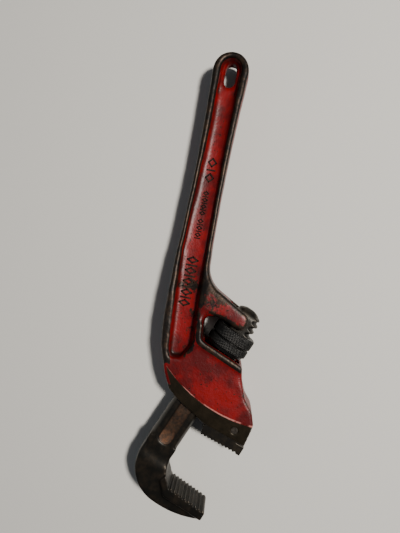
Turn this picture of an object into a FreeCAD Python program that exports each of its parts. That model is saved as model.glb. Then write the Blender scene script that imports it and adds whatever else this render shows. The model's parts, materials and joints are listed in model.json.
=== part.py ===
import FreeCAD, Part
import math
import os

import Sketcher
from FreeCAD import Placement, Rotation, Vector

# An offset pipe wrench. Two frames are used, both with their origin at the centre of the nut:
#   handle frame: X runs along the handle towards the head, Y towards the mouth, Z up.
#   jaw frame: X runs along the shank towards the hook, Y towards the mouth. It is the handle
#   frame turned about Z by minus shank_angle.
# The last step moves every part from the nut's centre to the tool's own origin, which is under
# the middle of the whole tool.

SIZES = {
    # the whole tool
    "shank_angle": 22.0,
    "origin_x": -36.964,
    "origin_y": -12.533,
    "origin_z": -16.0,
    # handle
    "handle_axis_y": -39.6,
    "handle_end_x": -194.7,
    "handle_end_radius": 13.5,
    "handle_waist_x": -146.0,
    "handle_neck_x": -50.0,
    "handle_neck_half": 13.2,
    "flange_thick": 19.0,
    "web_thick": 7.5,
    "recess_top_x": -203.6,
    "recess_top_half": 7.6,
    "recess_waist_half": 6.6,
    "recess_neck_half": 8.8,
    "recess_neck_x": -60.0,
    "recess_top_round": 7.2,
    "recess_low_round": 3.4,
    "web_grow": 1.0,
    "neck_slope_start": -66.0,
    "neck_slope_end": -28.0,
    "hang_slot_x": -193.0,
    "hang_slot_length": 18.0,
    "hang_slot_width": 7.8,
    # head
    "head_thick": 27.0,
    "bead_thick": 29.4,
    "end_half_thick": 10.6,
    "bevel_length": 14.0,
    "bevel_run_out": 1.0,
    "arm_top_radius": 6.0,
    "arm_low_radius": 3.0,
    "window_top_radius": 2.4,
    "window_low_radius": 3.0,
    "bead_corner_radius": 6.5,
    "tunnel_back": 15.6,
    "tunnel_front": 14.2,
    "tunnel_half_thick": 8.5,
    "tunnel_end": 66.0,
    # nut and thread
    "nut_length": 17.4,
    "nut_radius": 16.0,
    "nut_groove_depth": 1.8,
    "nut_groove_width": 2.0,
    "nut_collar_length": 2.6,
    "nut_collar_radius": 15.0,
    "nut_edge": 1.2,
    "nut_collar_edge": 0.8,
    "thread_radius": 11.5,
    "thread_root_radius": 9.5,
    "thread_pitch": 5.0,
    "thread_root_half": 1.7,
    "thread_crest_half": 0.75,
    "thread_clearance": 0.35,
    # shank
    "shank_start": -27.5,
    "thread_end": 60.0,
    "shank_end": 96.0,
    "shank_half_thick": 8.0,
    "shank_side_radius": 11.7,
    "shank_top_round": 5.5,
    "panel_start": 47.0,
    "panel_end": 92.0,
    "panel_half_width": 5.2,
    "panel_depth": 1.2,
    "panel_round": 4.5,
    # hook
    "hook_half_thick": 8.0,
    "boss_half_thick": 9.2,
    "tooth_pad_half_thick": 11.0,
    "hook_tooth_pitch": 3.1,
    "hook_tooth_depth": 1.9,
    "hook_tooth_count": 10,
    # heel jaw, its pocket and its pin
    "heel_pocket_start": 46.2,
    "heel_pocket_inner": 18.3,
    "heel_pocket_outer": 44.4,
    "heel_half_thick": 9.0,
    "heel_gap": 0.25,
    "heel_tooth_pitch": 2.9,
    "heel_tooth_depth": 1.3,
    "heel_tooth_count": 10,
    "pin_x": 51.6,
    "pin_y": 37.6,
    "pin_radius": 2.5,
    "pin_half_length": 12.0,
    "pin_fit": 0.01,
    # springs
    "leaf_start": 13.0,
    "leaf_end": 42.0,
    "leaf_near": 12.3,
    "leaf_far": 13.3,
    "leaf_thick": 0.8,
    "leaf_half_width": 5.5,
    "coil_x": 30.0,
    "coil_pocket_radius": 4.6,
    "coil_pocket_bottom": 24.0,
    "coil_radius": 3.4,
    "coil_wire_radius": 0.5,
    "coil_pitch": 2.2,
    "coil_start": 12.6,
    "coil_length": 10.6,
    # how far joined or cut shapes run past each other
    "overlap": 2.0,
}

# Corners of the outlines: name, x and y. The recess corners are in the handle frame, and the head,
# hook and heel corners are in the jaw frame.
POINTS = {
    "recess_back": (-25.0, -46.6),
    "recess_back_low": (12.0, -43.8),
    "recess_end_back": (20.0, -42.2),
    "recess_end_front": (18.6, -33.4),
    "recess_front_low": (8.0, -27.7),
    "recess_front": (-25.0, -29.4),
    "arm_tip_top": (-22.6, 3.0),
    "arm_tip_low": (-10.0, 3.4),
    "window_top": (-10.6, -17.0),
    "window_corner_top": (-5.2, -26.4),
    "window_corner_low": (10.0, -18.8),
    "window_end": (9.8, 16.5),
    "cheek_a": (20.9, 24.0),
    "cheek_b": (28.8, 31.7),
    "cheek_c": (33.5, 40.6),
    "cheek_d": (41.0, 46.8),
    "end_front": (57.8, 49.9),
    "end_middle": (61.0, 17.0),
    "end_back": (56.4, -11.0),
    "back_a": (53.8, -18.6),
    "back_b": (45.4, -28.0),
    "back_c": (30.0, -41.3),
    "back_d": (14.0, -50.0),
    "neck_back": (-35.9, -71.4),
    "neck_front": (-45.7, -47.0),
    "throat_low": (-38.3, -43.9),
    "throat_high": (-25.9, -25.5),
    "bead_start": (-1.2, -24.4),
    "bead_top": (-0.6, -28.7),
    "bead_corner": (14.0, -21.3),
    "bead_end": (13.8, 19.0),
    "heel_inner_top": (46.5, 18.6),
    "heel_outer_top": (46.5, 44.1),
    "heel_outer_step": (59.6, 44.1),
    "heel_lip": (59.0, 51.0),
    "heel_teeth_outer": (66.2, 51.2),
    "heel_teeth_inner": (69.4, 19.4),
    "heel_inner_low": (62.2, 17.6),
    "heel_inner_step": (61.4, 18.6),
    "hook_front_start": (90.0, 11.5),
    "hook_front_bend": (99.0, 11.5),
    "hook_front_flare": (104.5, 12.8),
    "hook_corner": (109.8, 15.4),
    "hook_teeth_inner": (114.3, 20.5),
    "hook_teeth_outer": (114.5, 51.3),
    "hook_nose": (115.9, 53.9),
    "hook_tip": (122.1, 54.3),
    "hook_crown": (131.7, 14.0),
    "hook_back": (107.3, -11.6),
    "hook_back_start": (90.0, -11.5),
    "boss_front": (105.0, 13.0),
    "boss_back": (105.0, -11.5),
    "pad_corner": (109.1, 15.0),
    "pad_inner": (114.8, 13.5),
    "pad_back": (123.3, 22.0),
    "pad_back_outer": (122.3, 42.0),
}

# Outlines that two shapes need. An item with a number is the start of an arc of that radius.
HEAD_CORNERS = [
    "arm_tip_top",
    "arm_tip_low",
    "window_top",
    "window_corner_top",
    "window_corner_low",
    "window_end",
    "cheek_a",
    "cheek_b",
    "cheek_c",
    "cheek_d",
    "end_front",
    "end_middle",
    "end_back",
    "back_a",
    "back_b",
    "back_c",
    "back_d",
    "neck_back",
    "neck_front",
    ("throat_low", -22.0),
    "throat_high",
]
HOOK_CORNERS = [
    "hook_corner",
    "hook_teeth_inner",
    "hook_teeth_outer",
    "hook_nose",
    ("hook_tip", 72.0),
    ("hook_crown", 29.2),
]

# The sides of the handle are long flat arcs, which narrow it at the waist.
WAIST_SIDE_RADIUS = 1500.0
# A cut this long goes through the whole tool.
WIDE = 400.0
# Whole turns between a helix's start and the nut's centre, so that both threads are in step.
TURNS_BEFORE_NUT = 3
TURNS_BEFORE_SHANK = 7
# How deep a ridge's foot is buried in its rod.
RIDGE_ROOT_OVERLAP = 0.6
# Where in its pitch a groove is deepest, how far in from the face's end the first one starts, and
# how far its cutter stands out of the face.
GROOVE_LOW_SHARE = 0.62
GROOVE_START = 0.1
GROOVE_STAND_OFF = 1.0

DOC = FreeCAD.newDocument("pipe_wrench")
SHEET = DOC.addObject("Spreadsheet::Sheet", "sizes")


def fill_sheet():
    """Write each size and each corner's two coordinates in a cell with its name as alias."""
    cells = dict(SIZES)
    for name, (x, y) in POINTS.items():
        cells[name + "_x"] = x
        cells[name + "_y"] = y
    for row, (name, value) in enumerate(cells.items(), start=1):
        SHEET.set(f"A{row}", name)
        SHEET.set(f"B{row}", str(value))
        SHEET.setAlias(f"B{row}", name)
    DOC.recompute()


def size(name):
    return float(getattr(SHEET, name))


def point(name):
    return Vector(size(name + "_x"), size(name + "_y"), 0)


def bind(feature, **bound):
    """Bind properties to expressions over the sheet, such as Length="head_thick"."""
    for prop, expression in bound.items():
        feature.setExpression(prop.replace("__", "."), expression.replace("#", "sizes."))


def new_body(label):
    body = DOC.addObject("PartDesign::Body", label)
    body.Label = label
    return body


def new_sketch(body, name, plane="XY_Plane", turned=False):
    """A sketch on one of the body's own planes. Turned sketches lie in the jaw frame."""
    sketch = body.newObject("Sketcher::SketchObject", name)
    base = next(f for f in body.Origin.OriginFeatures if f.Role == plane)
    sketch.AttachmentSupport = [(base, "")]
    sketch.MapMode = "FlatFace"
    if turned:
        axis = Vector(0, 0, 1) if plane == "XY_Plane" else Vector(0, 1, 0)
        sketch.AttachmentOffset = Placement(Vector(), Rotation(axis, -size("shank_angle")))
        bind(sketch, AttachmentOffset__Rotation__Angle="-#shank_angle")
        sketch.AttachmentOffset = Placement(Vector(), Rotation(axis, -size("shank_angle")))
    return sketch


def end_of(sketch, geo, where):
    """Which end of a piece of geometry, 1 or 2, lies at a place."""
    first = sketch.getPoint(geo, 1)
    second = sketch.getPoint(geo, 2)
    return 1 if (first - where).Length <= (second - where).Length else 2


def fix_vertex(sketch, geo, pos, where, x_rule, y_rule):
    """Hold a vertex at its distance from the sketch's origin, with both bound to the sheet."""
    for kind, value, rule in (("DistanceX", where.x, x_rule), ("DistanceY", where.y, y_rule)):
        index = sketch.addConstraint(Sketcher.Constraint(kind, -1, 1, geo, pos, value))
        if rule:
            sketch.setExpression(f"Constraints[{index}]", rule.replace("#", "sizes."))


def arc_through(start, stop, radius):
    """The short arc of a radius from start to stop. A positive radius bulges to the left."""
    chord = stop - start
    middle = (start + stop) * 0.5
    half = chord.Length / 2
    sag = abs(radius) - math.sqrt(max(radius * radius - half * half, 0.0))
    left = Vector(-chord.y, chord.x, 0).normalize()
    crest = middle + left * (sag if radius > 0 else -sag)
    return Part.Arc(start, crest, stop)


def closed_outline(sketch, corners):
    """A closed outline. Each corner is (place, x rule, y rule, radius of the edge that follows)."""
    count = len(corners)
    for index, (start, _, _, radius) in enumerate(corners):
        stop = corners[(index + 1) % count][0]
        edge = arc_through(start, stop, radius) if radius else Part.LineSegment(start, stop)
        sketch.addGeometry(edge, False)
    for index, (start, x_rule, y_rule, radius) in enumerate(corners):
        before = (index - 1) % count
        near = end_of(sketch, index, start)
        far = end_of(sketch, before, start)
        fix_vertex(sketch, index, near, start, x_rule, y_rule)
        sketch.addConstraint(Sketcher.Constraint("Coincident", before, far, index, near))
        if radius:
            sketch.addConstraint(Sketcher.Constraint("Radius", index, abs(radius)))


def named_outline(sketch, names):
    """A closed outline through named corners. An item is a name, or (name, radius)."""
    corners = []
    for item in names:
        name, radius = item if isinstance(item, tuple) else (item, 0)
        corners.append((point(name), f"#{name}_x", f"#{name}_y", radius))
    closed_outline(sketch, corners)


def value_of(rule):
    """The present value of an expression over the sheet."""
    return float(SHEET.evalExpression(rule.replace("#", "")))


def place_of(x_rule, y_rule):
    return Vector(value_of(x_rule), value_of(y_rule), 0)


def ruled_outline(sketch, rules):
    """A closed outline with straight sides, whose corners are pairs of expressions over the sheet."""
    closed_outline(sketch, [(place_of(x_rule, y_rule), x_rule, y_rule, 0) for x_rule, y_rule in rules])


def box_outline(sketch, low_x, high_x, low_y, high_y):
    """A rectangle whose four sides are expressions over the sheet."""
    ruled_outline(sketch, [(low_x, low_y), (high_x, low_y), (high_x, high_y), (low_x, high_y)])


def circle(sketch, x_rule, y_rule, radius_rule):
    place = place_of(x_rule, y_rule)
    radius = value_of(radius_rule)
    geo = sketch.addGeometry(Part.Circle(place, Vector(0, 0, 1), radius), False)
    fix_vertex(sketch, geo, 3, place, x_rule, y_rule)
    index = sketch.addConstraint(Sketcher.Constraint("Radius", geo, radius))
    sketch.setExpression(f"Constraints[{index}]", radius_rule.replace("#", "sizes."))


def pad(body, sketch, name, length_rule):
    """Add material, the same on both sides of the sketch's plane."""
    feature = body.newObject("PartDesign::Pad", name)
    feature.Profile = sketch
    feature.SideType = "Symmetric"
    bind(feature, Length=length_rule)
    DOC.recompute()
    return feature


def pocket(body, sketch, name, length_rule, symmetric=True):
    """Take material away and make sure that the body got smaller."""
    before = body.Shape.Volume
    feature = body.newObject("PartDesign::Pocket", name)
    feature.Profile = sketch
    if symmetric:
        feature.SideType = "Symmetric"
    bind(feature, Length=length_rule)
    DOC.recompute()
    if body.Shape.Volume >= before:
        raise RuntimeError(f"{name} cuts nothing")
    return feature


def round_uprights(body, base, name, places, radius_rule):
    """Fillet the edges that stand along Z at the named corners."""
    names = []
    for number, edge in enumerate(base.Shape.Edges, start=1):
        first, last = edge.Vertexes[0].Point, edge.Vertexes[-1].Point
        upright = abs(first.x - last.x) + abs(first.y - last.y) < 1e-6
        if upright and any(math.hypot(first.x - p.x, first.y - p.y) < 0.05 for p in places):
            names.append(f"Edge{number}")
    if not names:
        raise RuntimeError(f"{name} found no edges")
    feature = body.newObject("PartDesign::Fillet", name)
    feature.Base = (base, names)
    bind(feature, Radius=radius_rule)
    DOC.recompute()
    if "Invalid" in feature.State:
        raise RuntimeError(f"{name} can't be rounded")
    return feature


def in_handle_frame(name):
    """A jaw frame corner as a place in the handle frame."""
    return Rotation(Vector(0, 0, 1), -size("shank_angle")).multVec(point(name))


def handle_blank(body):
    """The handle's outline: a round end, and sides that narrow to a waist and widen to the head."""
    sketch = new_sketch(body, "handle_outline")
    sides = [
        ("#handle_end_x", "#handle_end_radius", -WAIST_SIDE_RADIUS),
        ("#handle_neck_x", "#handle_neck_half", 0),
        ("#handle_neck_x", "-#handle_neck_half", -WAIST_SIDE_RADIUS),
        ("#handle_end_x", "-#handle_end_radius", 0),
    ]
    corners = []
    for x_rule, half_rule, radius in sides:
        y_rule = f"#handle_axis_y + {half_rule}"
        corners.append((place_of(x_rule, y_rule), x_rule, y_rule, radius))
    closed_outline(sketch, corners)
    blank = pad(body, sketch, "handle_bar", "#flange_thick")
    sketch = new_sketch(body, "handle_end_outline")
    circle(sketch, "#handle_end_x", "#handle_axis_y", "#handle_end_radius")
    pad(body, sketch, "handle_end", "#flange_thick")
    return blank


def head_blank(body):
    """The head with its open arm, and the bead that stands proud round the nut's window."""
    sketch = new_sketch(body, "head_outline", turned=True)
    named_outline(sketch, HEAD_CORNERS)
    blank = pad(body, sketch, "head_block", "#head_thick")
    blank = round_uprights(body, blank, "arm_top", [in_handle_frame("arm_tip_top")], "#arm_top_radius")
    blank = round_uprights(body, blank, "arm_low", [in_handle_frame("arm_tip_low")], "#arm_low_radius")
    corner = [in_handle_frame("window_corner_top")]
    round_uprights(body, blank, "window_turn_top", corner, "#window_top_radius")
    sketch = new_sketch(body, "bead_outline", turned=True)
    named_outline(sketch, ["bead_start", "window_corner_low", "window_end",
                           "bead_end", "bead_corner", "bead_top"])
    bead = pad(body, sketch, "window_bead", "#bead_thick")
    bead = round_uprights(body, bead, "bead_turn", [in_handle_frame("bead_corner")], "#bead_corner_radius")
    corner = [in_handle_frame("window_corner_low")]
    round_uprights(body, bead, "window_turn_low", corner, "#window_low_radius")


def slope_faces(body, name, turned, thin_end, thick_end):
    """Cut both faces to a slope. Each end is its X and the half thickness there, as expressions."""
    thin_x, thin_half = thin_end
    thick_x, thick_half = thick_end
    reach = "#head_thick / 2 + #overlap"
    for side, word in ((1, "up"), (-1, "down")):
        sketch = new_sketch(body, f"{name}_outline_{word}", "XZ_Plane", turned)
        heights = [f"{side} * ({half})" for half in (thin_half, thick_half, reach)]
        ruled_outline(sketch, [(thin_x, heights[0]), (thick_x, heights[1]),
                               (thick_x, heights[2]), (thin_x, heights[2])])
        pocket(body, sketch, f"{name}_{word}", str(WIDE))


def neck_taper(body):
    """Slope both faces of the neck from the head's thickness to the handle's."""
    slope_faces(body, "neck_face", False,
                ("#neck_slope_start", "#flange_thick / 2"), ("#neck_slope_end", "#head_thick / 2"))


def end_bevel(body):
    """Slope both faces of the head's end, where the jaws work, down to the end face."""
    slope_faces(body, "end_face", True,
                ("#end_middle_x + #bevel_run_out", "#end_half_thick"),
                ("#end_middle_x - #bevel_length", "#head_thick / 2"))


def recess_rules(grow):
    """The recess's corners as expressions, with the outline moved outwards by the expression grow."""
    stations = [("#recess_top_x - " + grow, "#recess_top_half"),
                ("#handle_waist_x", "#recess_waist_half"),
                ("#recess_neck_x", "#recess_neck_half")]
    back = [(x_rule, f"#handle_axis_y - {half} - {grow}") for x_rule, half in stations]
    front = [(x_rule, f"#handle_axis_y + {half} + {grow}") for x_rule, half in stations]
    for name in ("recess_back", "recess_back_low"):
        back.append((f"#{name}_x", f"#{name}_y - {grow}"))
    for name in ("recess_front", "recess_front_low"):
        front.append((f"#{name}_x", f"#{name}_y + {grow}"))
    back.append((f"#recess_end_back_x + {grow}", "#recess_end_back_y"))
    front.append((f"#recess_end_front_x + {grow}", "#recess_end_front_y"))
    return back + front[::-1]


def handle_recess(body):
    """The I-section: a recess through the handle, then the web put back in its middle."""
    rules = recess_rules("0")
    sketch = new_sketch(body, "recess_outline")
    ruled_outline(sketch, rules)
    cut = pocket(body, sketch, "recess", str(WIDE))
    top = [place_of(*rules[0]), place_of(*rules[-1])]
    cut = round_uprights(body, cut, "recess_top", top, "#recess_top_round")
    low = [point("recess_end_back"), point("recess_end_front")]
    round_uprights(body, cut, "recess_low", low, "#recess_low_round")
    sketch = new_sketch(body, "web_outline")
    ruled_outline(sketch, recess_rules("#web_grow"))
    pad(body, sketch, "web", "#web_thick")


def hang_slot(body):
    """A round-ended slot through the handle's end."""
    half = "#hang_slot_length / 2"
    sketch = new_sketch(body, "hang_slot_outline")
    straight = "#hang_slot_x {} (" + half + " - #hang_slot_width / 2)"
    low_x, high_x = straight.format("-"), straight.format("+")
    box_outline(sketch, low_x, high_x,
                "#handle_axis_y - #hang_slot_width / 2", "#handle_axis_y + #hang_slot_width / 2")
    pocket(body, sketch, "hang_slot_middle", str(WIDE))
    for number, end in enumerate((low_x, high_x)):
        sketch = new_sketch(body, f"hang_slot_end_outline_{number}")
        circle(sketch, end, "#handle_axis_y", "#hang_slot_width / 2")
        pocket(body, sketch, f"hang_slot_end_{number}", str(WIDE))


def tunnel_and_pockets(body):
    """The shank's tunnel through arm and head, the heel jaw's pocket, its pin hole, the coil's hole."""
    sketch = new_sketch(body, "tunnel_outline", turned=True)
    box_outline(sketch, "-#tunnel_end", "#tunnel_end", "-#tunnel_back", "#tunnel_front")
    pocket(body, sketch, "tunnel", "2 * #tunnel_half_thick")
    sketch = new_sketch(body, "heel_pocket_outline", turned=True)
    box_outline(sketch, "#heel_pocket_start", "#tunnel_end", "#heel_pocket_inner", "#heel_pocket_outer")
    pocket(body, sketch, "heel_pocket", "2 * (#heel_half_thick + #heel_gap)")
    sketch = new_sketch(body, "pin_hole_outline", turned=True)
    circle(sketch, "#pin_x", "#pin_y", "#pin_radius")
    pocket(body, sketch, "pin_hole", str(WIDE))
    sketch = new_sketch(body, "coil_hole_outline", "XZ_Plane", True)
    circle(sketch, "#coil_x", "0", "#coil_pocket_radius")
    pocket(body, sketch, "coil_hole", "#coil_pocket_bottom", symmetric=False)


def make_handle_housing():
    body = new_body("handle_housing")
    handle_blank(body)
    head_blank(body)
    neck_taper(body)
    end_bevel(body)
    handle_recess(body)
    hang_slot(body)
    tunnel_and_pockets(body)
    return body


def make_hook_body():
    """The hook, the smooth end of the shank and the toothed pad, without the threaded length."""
    body = new_body("hook_forging")
    sketch = new_sketch(body, "hook_outline")
    named_outline(sketch, ["hook_front_start", "hook_front_bend", "hook_front_flare", *HOOK_CORNERS,
                           "hook_back", "hook_back_start"])
    pad(body, sketch, "hook_block", "2 * #hook_half_thick")
    sketch = new_sketch(body, "boss_outline")
    named_outline(sketch, ["boss_front", *HOOK_CORNERS, "boss_back"])
    pad(body, sketch, "hook_boss", "2 * #boss_half_thick")
    sketch = new_sketch(body, "tooth_pad_outline")
    named_outline(sketch, ["pad_corner", "hook_teeth_inner", "hook_teeth_outer", "hook_nose",
                           "hook_tip", "pad_back_outer", "pad_back", "pad_inner"])
    pad(body, sketch, "tooth_pad", "2 * #tooth_pad_half_thick")
    teeth(body, "hook", point("hook_teeth_inner"), point("hook_teeth_outer"), 1)
    return body


def teeth(body, jaw, start, stop, side):
    """Saw V grooves across a jaw's face, from one end of the face to the other."""
    along = (stop - start).normalize()
    into = Vector(-along.y, along.x, 0) * -side
    pitch = size(jaw + "_tooth_pitch")
    depth = size(jaw + "_tooth_depth")
    first = start + along * GROOVE_START
    last = first + along * pitch
    lowest = first + along * (pitch * GROOVE_LOW_SHARE) + into * depth
    stand_off = into * GROOVE_STAND_OFF
    places = [first - stand_off, last - stand_off, last, lowest, first]
    sketch = new_sketch(body, jaw + "_groove_outline")
    closed_outline(sketch, [(place, None, None, 0) for place in places])
    groove = pocket(body, sketch, jaw + "_groove", str(WIDE))
    line = new_sketch(body, jaw + "_tooth_line")
    line.addGeometry(Part.LineSegment(start, stop), True)
    for pos, where in ((1, start), (2, stop)):
        fix_vertex(line, 0, pos, where, None, None)
    before = body.Shape.Volume
    pattern = body.newObject("PartDesign::LinearPattern", jaw + "_grooves")
    pattern.Originals = [groove]
    pattern.Direction = (line, ["Axis0"])
    bind(pattern, Length=f"#{jaw}_tooth_pitch * (#{jaw}_tooth_count - 1)")
    bind(pattern, Occurrences=f"#{jaw}_tooth_count")
    body.Tip = pattern
    DOC.recompute()
    if body.Shape.Volume >= before:
        raise RuntimeError(jaw + " teeth cut nothing")


def thread_ridge(name, turns_before, length_rule, clearance_rule):
    """A helical ridge about Z that starts a whole number of turns below the nut's centre."""
    start = f"-{turns_before} * #thread_pitch"
    spine = DOC.addObject("Part::Helix", name + "_spine")
    bind(spine, Pitch="#thread_pitch", Height=length_rule, Radius="#thread_root_radius")
    bind(spine, Placement__Base__z=start)
    wide = value_of(f"#thread_root_half + {clearance_rule}")
    narrow = value_of(f"#thread_crest_half + {clearance_rule}")
    root = size("thread_root_radius") - RIDGE_ROOT_OVERLAP
    crest = value_of(f"#thread_radius + {clearance_rule}")
    base = value_of(start)
    corners = [Vector(root, 0, base - wide), Vector(crest, 0, base - narrow),
               Vector(crest, 0, base + narrow), Vector(root, 0, base + wide)]
    section = DOC.addObject("Part::Polygon", name + "_section")
    section.Nodes = corners
    section.Close = True
    ridge = DOC.addObject("Part::Sweep", name + "_ridge")
    ridge.Sections = [section]
    ridge.Spine = (spine, [])
    ridge.Solid = True
    ridge.Frenet = True
    DOC.recompute()
    return ridge


def along_shank():
    """The turn that lays a part made about Z along the jaw frame's X."""
    return Rotation(Vector(0, 1, 0), 90)


def make_threaded_shank():
    """A rod and its helical ridge, each flattened on both sides and rounded at the top end."""
    flat = new_body("shank_flats")
    sketch = new_sketch(flat, "shank_outline")
    box_outline(sketch, "#shank_start", "#thread_end - #overlap",
                "-#thread_radius - #overlap / 2", "#thread_radius + #overlap / 2")
    block = pad(flat, sketch, "shank_block", "2 * #shank_half_thick")
    corners = [place_of("#shank_start", f"{sign}(#thread_radius + #overlap / 2)") for sign in ("", "-")]
    round_uprights(flat, block, "shank_top", corners, "#shank_top_round")
    rod = DOC.addObject("Part::Cylinder", "shank_rod")
    bind(rod, Radius="#thread_root_radius", Height="#thread_end - #shank_start + 2 * #overlap")
    rod.Placement = Placement(Vector(), along_shank())
    bind(rod, Placement__Base__x="#shank_start - #overlap")
    length = f"#thread_end + {TURNS_BEFORE_SHANK} * #thread_pitch - 2 * #overlap"
    ridge = thread_ridge("shank_thread", TURNS_BEFORE_SHANK, length, "0")
    ridge.Placement = Placement(Vector(), along_shank())
    flattened = []
    for name, whole in (("shank_core", rod), ("shank_ridges", ridge)):
        common = DOC.addObject("Part::MultiCommon", name)
        common.Shapes = [whole, flat]
        flattened.append(common)
    shank = DOC.addObject("Part::MultiFuse", "shank_threaded")
    shank.Shapes = flattened
    return shank


def make_smooth_shank():
    """The unthreaded length, a flattened rod between the thread and the hook, with a side panel."""
    rod = DOC.addObject("Part::Cylinder", "smooth_rod")
    bind(rod, Radius="#shank_side_radius", Height="#shank_end - #thread_end + 2 * #overlap")
    rod.Placement = Placement(Vector(), along_shank())
    bind(rod, Placement__Base__x="#thread_end - 2 * #overlap")
    flat = DOC.addObject("Part::Box", "smooth_flats")
    bind(flat, Length="#shank_end - #thread_end + 2 * #overlap", Width="2 * #shank_side_radius",
         Height="2 * #shank_half_thick", Placement__Base__x="#thread_end - 2 * #overlap",
         Placement__Base__y="-#shank_side_radius", Placement__Base__z="-#shank_half_thick")
    smooth = DOC.addObject("Part::MultiCommon", "shank_smooth")
    smooth.Shapes = [rod, flat]
    return smooth


def make_panels():
    """The two shallow panels in the shank's flat sides."""
    panels = []
    for side in (1, -1):
        panel = new_body("panel_up" if side > 0 else "panel_down")
        sketch = new_sketch(panel, panel.Label + "_outline")
        box_outline(sketch, "#panel_start", "#panel_end", "-#panel_half_width", "#panel_half_width")
        block = pad(panel, sketch, panel.Label + "_block", "2 * #panel_depth")
        corners = [Vector(x, y * size("panel_half_width"), 0)
                   for x in (size("panel_start"), size("panel_end")) for y in (1, -1)]
        round_uprights(panel, block, panel.Label + "_ends", corners, "#panel_round")
        panel.Placement = Placement(Vector(0, 0, side * size("shank_half_thick")), Rotation())
        bind(panel, Placement__Base__z=f"{side} * #shank_half_thick")
        panels.append(panel)
    return panels


def make_hook_jaw():
    smooth = DOC.addObject("Part::MultiFuse", "hook_smooth")
    smooth.Shapes = [make_hook_body(), make_smooth_shank()]
    whole = DOC.addObject("Part::Fuse", "hook_rough")
    whole.Base = smooth
    whole.Tool = make_threaded_shank()
    holes = DOC.addObject("Part::MultiFuse", "panel_pair")
    holes.Shapes = make_panels()
    jaw = DOC.addObject("Part::Cut", "hook_jaw")
    jaw.Base = whole
    jaw.Tool = holes
    return jaw


def make_adjusting_nut():
    """Two knurl lands with a groove between them and a plain collar, threaded inside."""
    bore = "#thread_root_radius + #thread_clearance"
    half = "#nut_length / 2"
    groove_half = "#nut_groove_width / 2"
    collar = "#nut_length / 2 - #nut_collar_length"
    rules = [
        (bore, f"-({half})"),
        ("#nut_radius - #nut_edge", f"-({half})"),
        ("#nut_radius", f"-({half}) + #nut_edge"),
        ("#nut_radius", f"-({groove_half})"),
        ("#nut_radius - #nut_groove_depth", "0"),
        ("#nut_radius", groove_half),
        ("#nut_radius", collar),
        ("#nut_collar_radius", collar),
        ("#nut_collar_radius - #nut_collar_edge", half),
        (bore, half),
    ]
    blank = new_body("nut_blank")
    sketch = new_sketch(blank, "nut_profile", "XZ_Plane")
    ruled_outline(sketch, rules)
    turned = blank.newObject("PartDesign::Revolution", "nut_turned")
    turned.Profile = sketch
    turned.ReferenceAxis = (sketch, ["V_Axis"])
    turned.Angle = 360
    DOC.recompute()
    ridge = thread_ridge("nut_thread", TURNS_BEFORE_NUT, f"{2 * TURNS_BEFORE_NUT} * #thread_pitch",
                         "#thread_clearance")
    zone = DOC.addObject("Part::Cylinder", "nut_thread_zone")
    bind(zone, Radius="#thread_radius + #overlap", Height="#nut_length")
    bind(zone, Placement__Base__z="-#nut_length / 2")
    groove = DOC.addObject("Part::MultiCommon", "nut_thread_groove")
    groove.Shapes = [zone, ridge]
    nut = DOC.addObject("Part::Cut", "adjusting_nut")
    nut.Base = blank
    nut.Tool = groove
    return nut


def make_heel_jaw():
    body = new_body("heel_jaw")
    sketch = new_sketch(body, "heel_outline")
    named_outline(sketch, ["heel_inner_top", "heel_outer_top", "heel_outer_step", "heel_lip",
                           "heel_teeth_outer", "heel_teeth_inner", "heel_inner_low", "heel_inner_step"])
    pad(body, sketch, "heel_block", "2 * #heel_half_thick")
    teeth(body, "heel", point("heel_teeth_inner"), point("heel_teeth_outer"), -1)
    sketch = new_sketch(body, "heel_pin_hole_outline")
    circle(sketch, "#pin_x", "#pin_y", "#pin_radius")
    pocket(body, sketch, "heel_pin_hole", str(WIDE))
    return body


def make_heel_jaw_pin():
    body = new_body("heel_jaw_pin")
    sketch = new_sketch(body, "pin_outline")
    circle(sketch, "#pin_x", "#pin_y", "#pin_radius - #pin_fit")
    pad(body, sketch, "pin_rod", "2 * #pin_half_length")
    return body


def make_flat_spring():
    """A leaf, bowed towards the shank, behind it in the tunnel."""
    body = new_body("flat_spring")
    sketch = new_sketch(body, "leaf_outline")
    near, far, thick = size("leaf_near"), size("leaf_far"), size("leaf_thick")
    start, stop = size("leaf_start"), size("leaf_end")
    half = (stop - start) / 2
    sag = far - near
    bow = (half * half + sag * sag) / (2 * sag)
    corners = [
        (Vector(start, -far, 0), "#leaf_start", "-#leaf_far", bow),
        (Vector(stop, -far, 0), "#leaf_end", "-#leaf_far", 0),
        (Vector(stop, -far - thick, 0), "#leaf_end", "-#leaf_far - #leaf_thick", -bow),
        (Vector(start, -far - thick, 0), "#leaf_start", "-#leaf_far - #leaf_thick", 0),
    ]
    closed_outline(sketch, corners)
    pad(body, sketch, "leaf", "2 * #leaf_half_width")
    return body


def make_coil_spring():
    """A short coil across the shank, in its blind hole in the head."""
    spine = DOC.addObject("Part::Helix", "coil_spine")
    bind(spine, Pitch="#coil_pitch", Height="#coil_length", Radius="#coil_radius")
    section = DOC.addObject("Part::Circle", "coil_section")
    bind(section, Radius="#coil_wire_radius", Placement__Base__x="#coil_radius")
    section.Placement = Placement(Vector(size("coil_radius"), 0, 0), Rotation(Vector(1, 0, 0), 90))
    coil = DOC.addObject("Part::Sweep", "coil_spring")
    coil.Sections = [section]
    coil.Spine = (spine, [])
    coil.Solid = True
    coil.Frenet = True
    DOC.recompute()
    return coil


def to_row(jaw_frame, extra=None):
    """The placement of a part in the finished tool."""
    turn = Rotation(Vector(0, 0, 1), -size("shank_angle") if jaw_frame else 0.0)
    shift = Vector(-size("origin_x"), -size("origin_y"), -size("origin_z"))
    return Placement(shift, turn) * (extra or Placement())


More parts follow.
